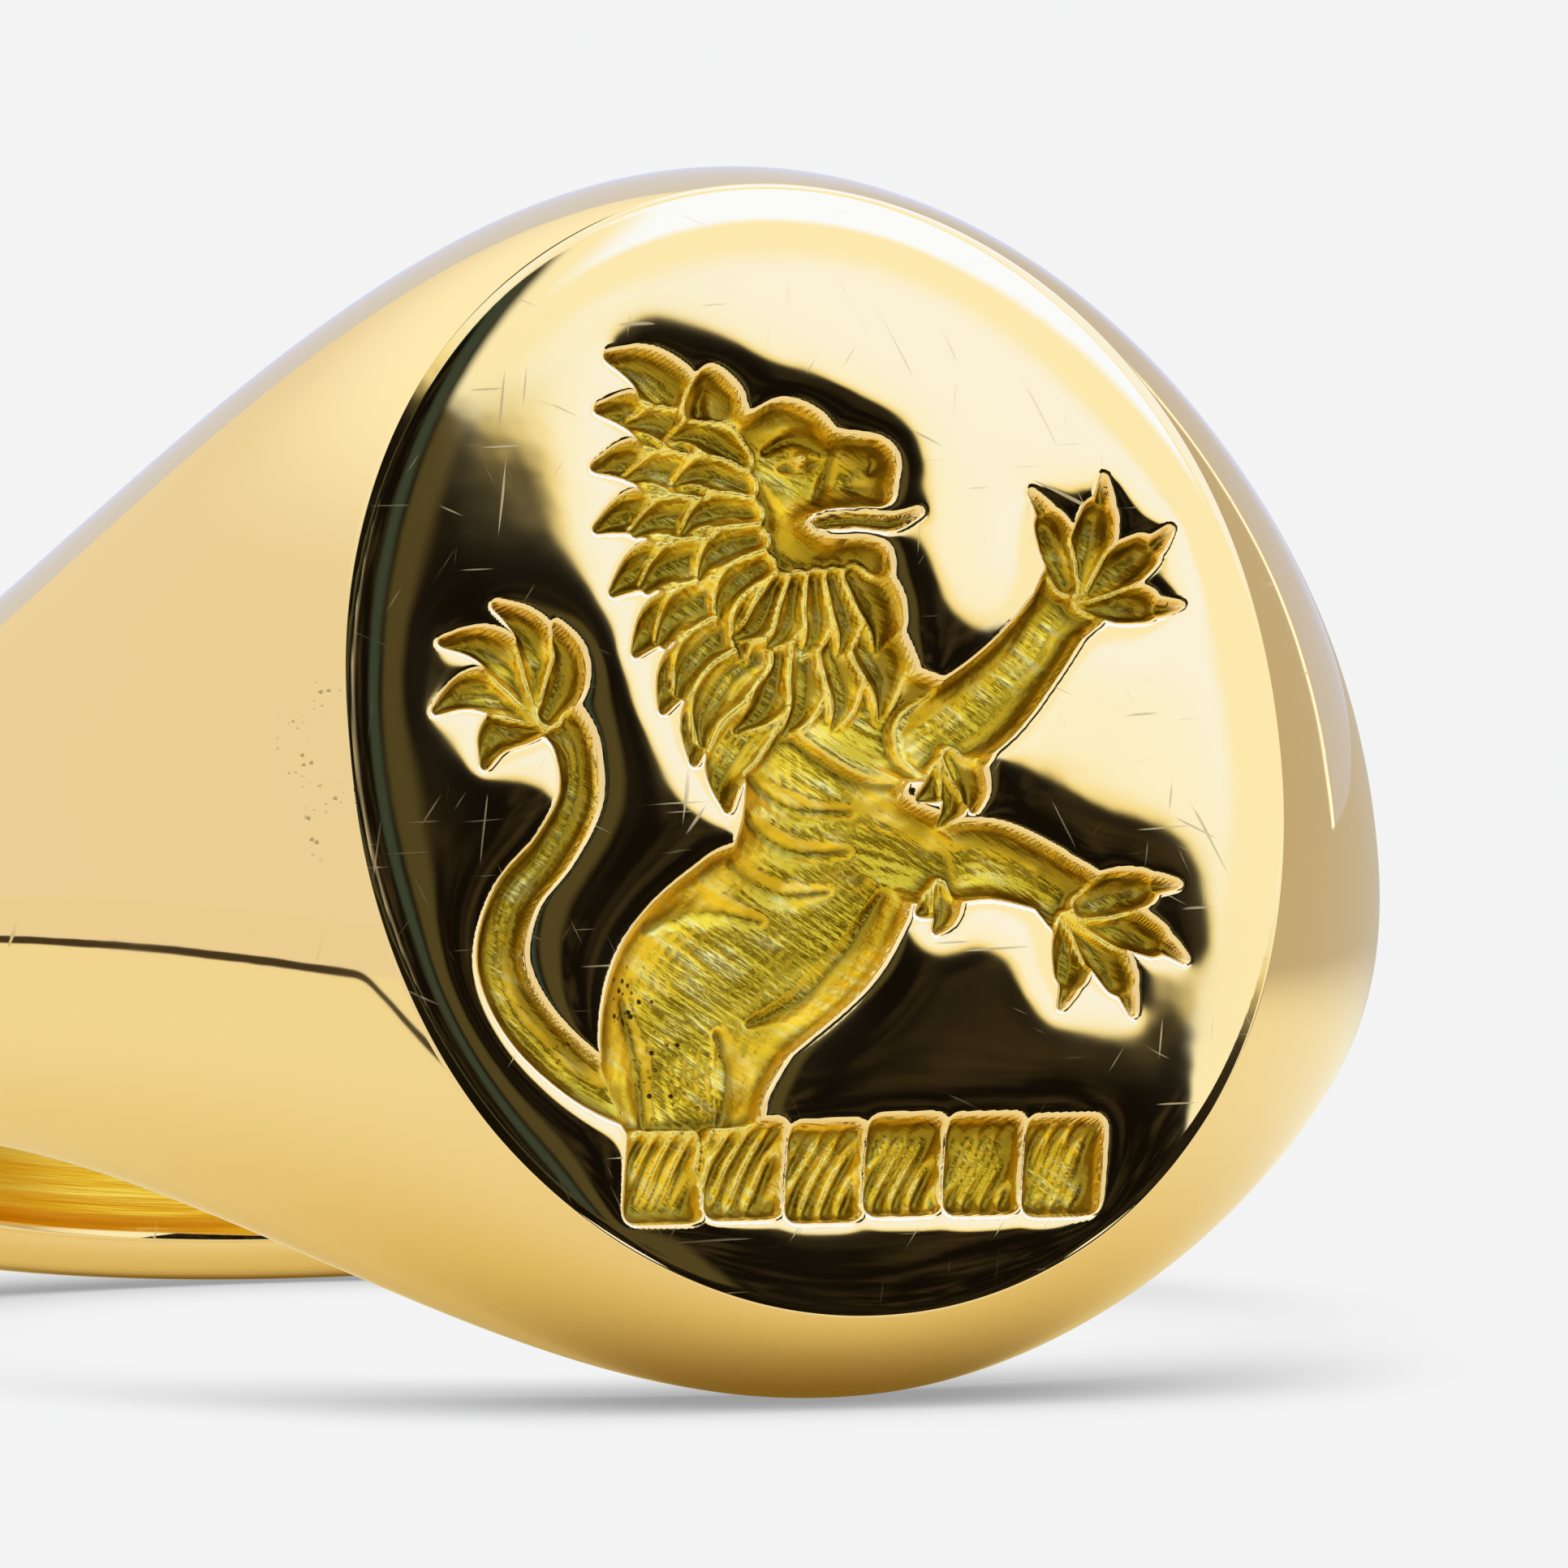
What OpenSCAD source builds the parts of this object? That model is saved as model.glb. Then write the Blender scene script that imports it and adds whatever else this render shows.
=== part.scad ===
// Gentleman's oval signet ring, lying on its side on a flat surface.
//
// The ring is a head with its two shoulders, a half-round shank and the two
// solder seams that join them. All four follow one band: at each angle round
// the finger hole, counted from the middle of the face, the band has an outer
// radius, a half-width and a D-shaped section.
//
// Built upright first: the finger hole runs along Z and the face looks along -Y.
// lay_down() then tips it into its resting pose, on its head and its shank.
// The origin is the middle of the finger hole.

/* [Finger hole] */
// Diameter of the finger hole
bore_d = 18.2; // [15:0.1:22]

/* [Face] */
// Distance from the hole's centre line to the flat face
face_h = 12.0; // [11.6:0.1:12.6]
// Depth of the engraving
cut_depth = 0.45; // [0.2:0.05:0.7]

/* [Head] */
// Outer radius that the head's dome would have if it weren't cut flat
dome_r = 14.6; // [14:0.1:15.5]
// Width of the head along the finger, at its widest
head_w = 15.6; // [13:0.1:17]
// Angle over which the shoulders fall from the head to the shank
fall_a = 44; // [36:1:50]
// Angle over which the shoulders narrow from the head to the shank
narrow_a = 48.5; // [40:0.5:55]

/* [Shank] */
// Width of the shank along the finger
shank_w = 4.3; // [3:0.1:6]
// Thickness of the shank
shank_t = 1.75; // [1.2:0.05:2.4]
// Angle from the middle of the face to each solder seam
seam_a = 82; // [75:1:100]
// Thickness of each solder seam
seam_t = 0.12; // [0.05:0.01:0.2]

/* [Rest] */
// Tilt of the ring when it lies on its head and its shank
tilt_a = 16.0; // [10:0.1:20]

/* [Hidden] */

bore_r = bore_d / 2;
shank_r = bore_r + shank_t;

// How the band's section is shaped
fall_power = 2.1;     // how squarely the shoulders fall
narrow_power = 2.05;  // how squarely they narrow
side_power = 2.15;    // how square the section's corners are
wide_at = 0.2;        // share of the thickness at which the section is widest
curl = 0.57;          // how far the side turns in between there and the hole
curl_share = 0.9;     // part of a quarter ellipse that this turn follows
past_hole = 1.4;      // how far that turn goes on into the hole, before it is bored

// Fineness of the swept surfaces
top_steps = 18;
side_steps = 3;
step_a = 3.4;

// Engraving: [across, up, half-width] along the middle of each cut, in
// millimetres from the centre of the face
body_cut = [
    [-2.05, -4.75, 0.8], [-2.15, -4.0, 1.05], [-1.6, -3.0, 1.25], [-0.6, -1.95, 1.3],
    [-0.1, -0.8, 1.05], [0.1, 0.4, 1.05], [-0.2, 1.5, 1.05], [-0.7, 2.5, 0.95]
];
head_cut = [[-1.0, 3.1, 0.9], [-0.3, 3.3, 0.95], [0.4, 3.35, 0.7], [1.05, 3.45, 0.4]];
jaw_cut = [[-0.6, 2.5, 0.55], [0.2, 2.25, 0.38], [0.85, 2.25, 0.28]];
ear_cut = [[-0.9, 3.85, 0.32], [-0.95, 4.25, 0.3], [-1.0, 4.55, 0.2]];
mane_cut = [[-1.5, 4.0, 0.6], [-1.65, 3.1, 0.85], [-1.5, 2.0, 0.9], [-1.1, 0.9, 0.7], [-0.9, 0.2, 0.4]];
tail_cut = [
    [-2.6, -4.6, 0.24], [-3.4, -4.15, 0.3], [-4.1, -3.45, 0.31], [-4.4, -2.65, 0.29],
    [-4.15, -1.85, 0.26], [-3.6, -1.25, 0.24], [-3.2, -0.6, 0.23], [-3.2, 0.1, 0.25], [-3.45, 0.5, 0.28]
];
upper_leg_cut = [
    [0.35, 0.75, 0.75], [1.0, 0.3, 0.72], [1.75, 0.15, 0.58], [2.25, 0.5, 0.5],
    [2.85, 1.05, 0.42], [3.3, 1.55, 0.4], [3.65, 1.95, 0.47]
];
lower_leg_cut = [
    [0.1, -0.85, 0.7], [0.85, -1.3, 0.64], [1.5, -1.5, 0.52], [2.15, -1.5, 0.46],
    [2.85, -1.75, 0.4], [3.2, -2.05, 0.45]
];
claw_tips = [
    [[3.9, 1.85], [4.95, 1.7]], [[3.85, 2.1], [4.85, 2.75]], [[3.7, 2.2], [4.1, 3.3]], [[3.5, 2.15], [3.15, 3.15]],
    [[3.1, -2.3], [2.8, -3.3]], [[3.35, -2.35], [3.75, -3.4]], [[3.5, -2.2], [4.5, -2.75]], [[3.45, -1.95], [4.6, -1.75]]
];
mane_tips = [
    [[-1.6, 4.25], [-2.4, 5.05]], [[-2.1, 3.35], [-2.7, 3.55]], [[-2.0, 2.1], [-2.6, 1.9]],
    [[-1.5, 1.0], [-2.1, 0.4]], [[-0.95, 0.05], [-1.35, -0.8]]
];
tuft_tips = [
    [[-3.55, 0.35], [-4.3, -0.15]], [[-3.5, 0.55], [-4.85, 0.45]], [[-3.4, 0.65], [-4.7, 1.3]],
    [[-3.3, 0.7], [-4.0, 1.75]]
];

// The bar of twisted cord under the animal
twist_count = 6;
twist_pitch = 1.04;
twist_w = 0.88;
twist_h = 1.1;
twist_lean = 0.16;
twist_mid = [0.08, -5.33];

// Band: one function for each thing that changes round the ring

// Angle from the middle of the face, whichever way round is shorter
function off_face(a) = min(abs(a), 360 - abs(a));

function ease(a, spread, power) = exp(-pow(off_face(a) / spread, power));

function outer_r(a) = shank_r + (dome_r - shank_r) * ease(a, fall_a, fall_power);

function half_w(a) = shank_w / 2 + (head_w - shank_w) / 2 * ease(a, narrow_a, narrow_power);

// Radius at which the band is widest
function wide_r(a) = bore_r + wide_at * (outer_r(a) - bore_r);

// Over the outside, from one widest point to the other: b runs from -90 to 90
function over(a, b) = [
    wide_r(a) + (outer_r(a) - wide_r(a)) * cos(b),
    half_w(a) * sign(b) * pow(abs(sin(b)), 2 / side_power)
];

// Down a side from its widest point: k is 0 there, 1 at the hole and more inside it
function turn_in(k) = (1 - sqrt(max(0, 1 - pow(k * curl_share, 2)))) / (1 - sqrt(1 - pow(curl_share, 2)));

function down(a, k, side) = [
    wide_r(a) - k * (wide_r(a) - bore_r),
    side * (half_w(a) - curl * turn_in(k))
];

function section(a) = concat(
    [for (i = [side_steps:-1:1]) down(a, past_hole * i / side_steps, -1)],
    [for (i = [0:top_steps]) over(a, -90 + 180 * i / top_steps)],
    [for (i = [1:side_steps]) down(a, past_hole * i / side_steps, 1)]
);

// The band between two angles, as one closed surface, with its hole still rough.
// Its two end sections are moved along the band by end_shift, to leave room for solder.
module raw_band(from_a, to_a, end_shift) {
    steps = round((to_a - from_a) / step_a);
    angles = [for (i = [0:steps]) from_a + (to_a - from_a) * i / steps];
    n = len(section(0));
    points = [
        for (i = [0:steps])
            let (a = angles[i], shift = i == 0 ? end_shift : i == steps ? -end_shift : 0)
            for (p = section(a))
                [p[0] * sin(a) + shift * cos(a), -p[0] * cos(a) + shift * sin(a), p[1]]
    ];
    sides = [
        for (i = [0:steps - 1]) for (j = [0:n - 1])
            let (k = (j + 1) % n)
            for (f = [[i * n + j, i * n + k, (i + 1) * n + k], [i * n + j, (i + 1) * n + k, (i + 1) * n + j]])
                f
    ];
    first = [for (j = [n - 1:-1:0]) j];
    last = [for (j = [0:n - 1]) steps * n + j];
    polyhedron(points = points, faces = concat([first], sides, [last]), convexity = 8);
}

// Bores the finger hole. The cylinder's own seam line is turned to seam_at, clear of the part.
module bored(seam_at) {
    difference() {
        children();
        rotate([0, 0, seam_at])
            cylinder(r = bore_r, h = head_w * 2, center = true, $fn = 180);
    }
}

// Engraving: curves through the points above, and cuts of varying width along them

function held(list, i) = list[max(0, min(len(list) - 1, i))];

function between(p, q, r, s, t) =
    ((2 * q) + (r - p) * t + (2 * p - 5 * q + 4 * r - s) * t * t + (3 * q - p - 3 * r + s) * t * t * t) / 2;

function smooth(list, n) = concat(
    [for (i = [0:len(list) - 2]) for (k = [0:n - 1])
        between(held(list, i - 1), list[i], list[i + 1], held(list, i + 2), k / n)],
    [list[len(list) - 1]]
);

// Direction along a list of points at number i, as an angle
function heading(list, i) =
    let (d = held(list, i + 1) - held(list, i - 1))
    atan2(d[1], d[0]);

function beside(list, i, side) =
    let (a = heading(list, i) + side * 90)
    [list[i][0] + list[i][2] * cos(a), list[i][1] + list[i][2] * sin(a)];

function round_end(p, a) = [
    for (b = [-60:30:60]) [p[0] + p[2] * cos(a + b), p[1] + p[2] * sin(a + b)]
];

function outline(list) =
    let (n = len(list) - 1)
    concat(
        [for (i = [0:n]) beside(list, i, -1)],
        round_end(list[n], heading(list, n)),
        [for (i = [n:-1:0]) beside(list, i, 1)],
        round_end(list[0], heading(list, 0) + 180)
    );

// Cuts into the face: drawn across and up, and sunk along +Y from the face
module sink(depth) {
    translate([0, depth - face_h, 0])
        rotate([90, 0, 0])
            linear_extrude(height = depth + 1)
                children();
}

module stroke(list, depth) {
    sink(depth)
        polygon(outline(smooth(list, 4)));
}

module spike(ends, root_w, depth) {
    mid = (ends[0] + ends[1]) / 2;
    a = atan2(ends[1][1] - ends[0][1], ends[1][0] - ends[0][0]);
    side = root_w * [cos(a + 90), sin(a + 90)];
    sink(depth)
        polygon([ends[0] - side, mid - side * 0.7, ends[1], mid + side * 0.7, ends[0] + side]);
}

module twist(i) {
    x = twist_mid[0] + (i - (twist_count - 1) / 2) * twist_pitch;
    corners = [
        for (b = [0:30:330])
            let (
                u = sign(cos(b)) * pow(abs(cos(b)), 0.5) * twist_w / 2,
                v = sign(sin(b)) * pow(abs(sin(b)), 0.5) * twist_h / 2
            )
            [x + u + v * twist_lean, twist_mid[1] + v]
    ];
    sink(cut_depth * 0.8)
        polygon(corners);
}

module engraving() {
    stroke(body_cut, cut_depth);
    stroke(head_cut, cut_depth * 0.93);
    stroke(jaw_cut, cut_depth * 0.7);
    stroke(ear_cut, cut_depth * 0.6);
    stroke(mane_cut, cut_depth * 0.8);
    stroke(tail_cut, cut_depth * 0.65);
    stroke(upper_leg_cut, cut_depth * 0.87);
    stroke(lower_leg_cut, cut_depth * 0.85);
    for (i = [0:len(claw_tips) - 1])
        spike(claw_tips[i], 0.2, cut_depth * (0.5 + i * 0.01));
    for (i = [0:len(mane_tips) - 1])
        spike(mane_tips[i], 0.36, cut_depth * (0.71 + i * 0.01));
    for (i = [0:len(tuft_tips) - 1])
        spike(tuft_tips[i], 0.26, cut_depth * (0.62 + i * 0.01));
    for (i = [0:twist_count - 1])
        twist(i);
}

// Parts

module lay_down() {
    rotate([-tilt_a, 0, 0])
        children();
}

module signet_head() {
    block = 4 * dome_r;
    color([0.90, 0.74, 0.36])
        lay_down()
            difference() {
                bored(90)
                    raw_band(-seam_a, seam_a, 0);
                translate([-block / 2, -face_h - block, -block / 2])
                    cube(block);
                engraving();
            }
}

module shank() {
    color([0.88, 0.72, 0.34])
        lay_down()
            bored(-90)
                raw_band(seam_a, 360 - seam_a, seam_t);
}

module solder_seam() {
    bored(0)
        rotate([0, 0, -seam_a - 90])
            rotate([90, 0, 0])
                linear_extrude(height = seam_t)
                    polygon(section(seam_a));
}

module solder_seam_left() {
    color([0.86, 0.76, 0.48])
        lay_down()
            solder_seam();
}

module solder_seam_right() {
    color([0.86, 0.76, 0.48])
        lay_down()
            mirror([1, 0, 0])
                solder_seam();
}

signet_head();
shank();
solder_seam_left();
solder_seam_right();
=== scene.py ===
"""Looks of the oval signet ring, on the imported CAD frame.

The band, the face and the engraving are worked out in millimetres with the ring upright: the finger
hole runs along Z and the face looks along -Y. place() then tips it into the resting pose, in metres.
"""
import math

import bmesh
import bpy
import numpy as np
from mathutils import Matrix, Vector


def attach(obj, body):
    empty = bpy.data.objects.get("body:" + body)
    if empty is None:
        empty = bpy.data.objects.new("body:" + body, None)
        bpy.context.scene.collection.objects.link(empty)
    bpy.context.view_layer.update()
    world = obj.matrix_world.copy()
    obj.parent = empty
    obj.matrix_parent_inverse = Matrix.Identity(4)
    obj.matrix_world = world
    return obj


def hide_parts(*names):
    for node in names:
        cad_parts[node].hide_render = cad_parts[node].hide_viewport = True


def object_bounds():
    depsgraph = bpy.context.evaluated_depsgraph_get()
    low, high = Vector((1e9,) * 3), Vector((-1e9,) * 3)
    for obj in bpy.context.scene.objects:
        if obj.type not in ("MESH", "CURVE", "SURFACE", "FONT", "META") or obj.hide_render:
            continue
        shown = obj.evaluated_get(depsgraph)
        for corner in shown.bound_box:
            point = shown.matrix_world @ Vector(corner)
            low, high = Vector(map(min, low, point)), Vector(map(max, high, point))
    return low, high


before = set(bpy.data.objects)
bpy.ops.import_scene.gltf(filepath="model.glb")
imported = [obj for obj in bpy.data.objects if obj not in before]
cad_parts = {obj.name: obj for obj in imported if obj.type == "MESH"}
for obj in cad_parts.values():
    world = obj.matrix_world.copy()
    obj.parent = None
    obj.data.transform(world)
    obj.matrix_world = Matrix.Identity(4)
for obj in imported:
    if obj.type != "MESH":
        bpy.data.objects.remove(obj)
cad_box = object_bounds()

MM = 0.001

# Driving dimensions, the same as the CAD model's
BORE_R = 9.1
FACE_H = 12.0
DOME_R = 14.6
HEAD_W = 15.6
FALL_A = 44.0
NARROW_A = 48.5
SHANK_W = 4.3
SHANK_T = 1.75
SEAM_A = 82.0
SEAM_T = 0.12
TILT = math.radians(16.0)

SHANK_R = BORE_R + SHANK_T
FALL_POWER = 2.1    # how squarely the head falls away to the shank, and narrows to it
NARROW_POWER = 2.05
SIDE_POWER = 2.15   # fullness of the band's section
WIDE_AT = 0.2       # share of the band's thickness at which it is widest
CURL = 0.57         # how far the edges turn in towards the hole
CURL_SHARE = 0.9
OVER_SHARE = 0.8    # share of the way across the band that is its outside; the rest turns in
HAND_WAVE = 0.0035  # height of the unevenness left by hand finishing
WAVE_FADE = 8       # how fast it dies out towards the hole's edges

# Face: a shallow dome whose rim has been rolled off by polishing
FACE_HALF = (6.08, 7.11)
FACE_DOME_R = 260.0
FACE_RISE = 0.12    # height of the dome over the CAD model's flat face
RIM_DROP = 0.055
RIM_REACH = 0.34

# The face's rim is looked for within this angle, by halving
SEARCH_A = 70.0
HALVINGS = 45
RIM_STEPS = 6000

# Fineness of the meshes
FACE_CELLS = 360
WALL_RINGS = 46
BORE_ROWS = 22
SHANK_STEPS = 220
OUTSIDE_STEPS = 110
INSIDE_STEPS = 16
RING_CROWDING = 1.5  # the wall's rings lie closer together near the face


# ---------------------------------------------------------------- band

def off_face(a):
    """Angle from the middle of the face, in degrees, whichever way round is shorter."""
    return np.minimum(np.abs(a), 360 - np.abs(a))


def ease(a, spread, power):
    return np.exp(-(off_face(a) / spread) ** power)


def outer_r(a):
    return SHANK_R + (DOME_R - SHANK_R) * ease(a, FALL_A, FALL_POWER)


def half_w(a):
    return SHANK_W / 2 + (HEAD_W - SHANK_W) / 2 * ease(a, NARROW_A, NARROW_POWER)


def band_section(a, q):
    """Radius and height of the band's surface at angle a. q runs from -1 to 1, from one edge of the hole
    over the outside to the other edge."""
    outer = outer_r(a)
    wide_r = BORE_R + WIDE_AT * (outer - BORE_R)
    b = np.clip(q / OVER_SHARE, -1, 1) * (math.pi / 2)
    k = np.clip((np.abs(q) - OVER_SHARE) / (1 - OVER_SHARE), 0, 1)
    turned = (1 - np.sqrt(1 - (k * CURL_SHARE) ** 2)) / (1 - math.sqrt(1 - CURL_SHARE ** 2))
    radius = wide_r + (outer - wide_r) * np.cos(b) - k * (wide_r - BORE_R)
    height = half_w(a) * np.sign(q) * np.abs(np.sin(b)) ** (2 / SIDE_POWER) - np.sign(q) * CURL * turned
    return radius, height


def hand_wave(a, z):
    """Unevenness left by hand finishing: a few long, low waves, in millimetres."""
    r = np.radians(a)
    return HAND_WAVE * (np.sin(7.0 * r + 0.55 * z + 1.0) + 0.8 * np.sin(11.0 * r - 0.9 * z + 2.1)
                        + 0.6 * np.sin(1.9 * z + 4.0 * r))


def band_point(a, q, slide=0.0):
    """Points of the band's outside, upright, in millimetres. slide moves them along the band."""
    radius, height = band_section(a, q)
    radius = radius + hand_wave(a, height) * np.clip((1 - np.abs(q)) * WAVE_FADE, 0, 1)
    t = np.radians(a)
    x = radius * np.sin(t) + slide * np.cos(t)
    y = -radius * np.cos(t) + slide * np.sin(t)
    return np.stack([x, y, height], -1)


def place(points):
    """Upright millimetres to the resting pose in metres."""
    c, s = math.cos(TILT), math.sin(TILT)
    x, y, z = points[..., 0], points[..., 1], points[..., 2]
    return np.stack([x, y * c + z * s, -y * s + z * c], -1) * MM


# ---------------------------------------------------------------- face

def face_sag(u, v):
    """How far the polished face, uncut, lies behind the plane of its rim."""
    out = np.sqrt((u / FACE_HALF[0]) ** 2 + (v / FACE_HALF[1]) ** 2)
    inward = np.maximum(1 - out, 0) * sum(FACE_HALF) / 2
    return (u * u + v * v) / (2 * FACE_DOME_R) - FACE_RISE + RIM_DROP * np.exp(-inward / RIM_REACH)


def face_outline(n):
    """(angle round the band, q) where the band's outside meets the face, in n directions."""
    d = np.linspace(-math.pi, math.pi, n, endpoint=False)
    way_a, way_q = SEARCH_A * np.cos(d), OVER_SHARE * np.sin(d)
    low, high = np.zeros(n), np.ones(n)
    for _ in range(HALVINGS):
        mid = (low + high) / 2
        p = band_point(mid * way_a, mid * way_q)
        above = -p[:, 1] > FACE_H - face_sag(p[:, 0], p[:, 2])
        low = np.where(above, mid, low)
        high = np.where(above, high, mid)
    return low * way_a, low * way_q


# ---------------------------------------------------------------- engraving

# In millimetres across and up from the centre of the face.
# A cut is a list of [across, up, half-width] points, from its start to its end, and its depth.
BODY = [
    ([[-2.05, -4.75, 0.80], [-2.15, -4.0, 1.05], [-1.75, -3.1, 1.22], [-1.0, -2.4, 1.15]], 0.50),
    ([[-1.3, -3.0, 1.0], [-0.5, -2.25, 1.12], [0.2, -1.8, 0.82]], 0.46),
    ([[-0.55, -2.1, 0.95], [-0.1, -1.1, 0.98], [0.05, -0.2, 1.02], [0.05, 0.7, 0.95]], 0.48),
    ([[0.2, -0.4, 0.8], [0.5, 0.45, 0.92], [0.2, 1.3, 0.95], [-0.2, 2.0, 0.8]], 0.50),
]
# Softer grooves that model the body: ribs, belly, haunch
GROOVES = [
    ([[-0.95, -0.25, 0.10], [-0.35, -0.65, 0.24], [0.5, -0.75, 0.08]], 0.09),
    ([[-1.0, -0.8, 0.10], [-0.4, -1.2, 0.24], [0.4, -1.25, 0.08]], 0.09),
    ([[-1.2, -1.4, 0.10], [-0.6, -1.75, 0.24], [0.1, -1.75, 0.08]], 0.08),
    ([[0.8, -1.8, 0.10], [0.25, -2.55, 0.26], [-0.4, -3.1, 0.24], [-1.1, -3.4, 0.08]], 0.10),
    ([[-2.4, -2.2, 0.10], [-1.65, -1.95, 0.24], [-0.8, -2.1, 0.08]], 0.07),
    ([[-2.75, -3.1, 0.10], [-2.6, -3.9, 0.24], [-2.6, -4.7, 0.08]], 0.09),
    ([[-1.5, -3.5, 0.10], [-1.45, -4.1, 0.24], [-1.6, -4.7, 0.08]], 0.09),
]
HEAD = [
    [-1.0, 2.6], [-0.95, 3.4], [-1.2, 3.95], [-1.28, 4.45], [-0.95, 4.82], [-0.62, 4.55], [-0.5, 4.22],
    [-0.05, 4.38], [0.38, 4.24], [0.62, 3.98], [0.95, 3.92], [1.22, 3.86], [1.38, 3.64], [1.32, 3.35],
    [1.22, 3.08], [0.85, 3.04], [0.42, 3.02], [0.12, 2.86], [0.42, 2.62], [0.8, 2.62], [1.12, 2.52],
    [1.16, 2.2], [0.9, 1.92], [0.4, 1.95], [-0.2, 1.85], [-0.8, 2.0],
]
EYE = [0.3, 3.72]
FEATURES = [
    ([[-0.15, 3.86, 0.06], [0.25, 4.02, 0.13], [0.6, 3.82, 0.06]], 0.12),    # brow
    ([[0.05, 3.66, 0.08], [0.3, 3.66, 0.15], [0.55, 3.7, 0.06]], 0.09),      # eye socket
    ([[0.7, 3.85, 0.06], [0.62, 3.5, 0.13], [0.42, 3.2, 0.06]], 0.07),       # side of the muzzle
    ([[0.85, 3.4, 0.05], [1.08, 3.3, 0.09], [1.2, 3.2, 0.04]], 0.06),        # lip
    ([[-0.45, 3.6, 0.08], [-0.2, 3.1, 0.2], [-0.35, 2.5, 0.08]], 0.09),      # cheek
    ([[-0.95, 4.1, 0.06], [-0.98, 4.35, 0.16], [-0.92, 4.6, 0.06]], 0.12),   # ear
    ([[1.18, 3.56, 0.05], [1.26, 3.66, 0.08], [1.2, 3.74, 0.05]], 0.12),     # nostril
    ([[0.35, 2.45, 0.05], [0.75, 2.3, 0.12], [1.0, 2.25, 0.05]], 0.07),      # lower jaw
]
TONGUE = [[0.3, 2.84, 0.08], [0.8, 2.88, 0.10], [1.25, 2.82, 0.08], [1.62, 2.95, 0.02]]
UPPER_LEG = [
    ([[0.35, 0.75, 0.75], [1.0, 0.3, 0.72], [1.75, 0.15, 0.58]], 0.46),
    ([[1.6, 0.1, 0.54], [2.25, 0.5, 0.50], [2.85, 1.05, 0.42], [3.3, 1.55, 0.38]], 0.42),
]
LOWER_LEG = [
    ([[0.1, -0.85, 0.7], [0.85, -1.3, 0.64], [1.5, -1.5, 0.52]], 0.44),
    ([[1.4, -1.5, 0.50], [2.15, -1.5, 0.46], [2.85, -1.75, 0.38]], 0.40),
]
TAIL = [
    ([[-2.6, -4.6, 0.24], [-3.4, -4.15, 0.30], [-4.1, -3.45, 0.31], [-4.4, -2.65, 0.29],
      [-4.15, -1.85, 0.26], [-3.6, -1.25, 0.24], [-3.2, -0.6, 0.23], [-3.2, 0.1, 0.25],
      [-3.45, 0.5, 0.28]], 0.30),
]
TUFT_ROOT = [-3.42, 0.5]
TUFT = ((208, 1.2, 0.27), (172, 1.55, 0.29), (140, 1.65, 0.29), (108, 1.5, 0.27), (76, 1.1, 0.22))


def held(points, i):
    """Point i, or the end point nearest to it."""
    return points[max(0, min(len(points) - 1, i))]


def smooth(points, n, closed=False):
    """A curve through the points, n steps between each two."""
    p = np.array(points, float)
    if closed:
        p = np.vstack([p[-1:], p, p[:2]])
        spans = range(1, len(p) - 2)
    else:
        spans = range(len(p) - 1)
    out = []
    for i in spans:
        a, b, c, d = held(p, i - 1), p[i], p[i + 1], held(p, i + 2)
        for k in range(n):
            t = k / n
            out.append(0.5 * (2 * b + (c - a) * t + (2 * a - 5 * b + 4 * c - d) * t * t
                              + (3 * b - a - 3 * c + d) * t ** 3))
    if not closed:
        out.append(p[-1])
    return np.array(out)


def rounded(e, power):
    """Depth across a cut, from 0 at its edge to 1 in its middle."""
    return (1 - (1 - e) ** power) ** (1 / power)


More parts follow.
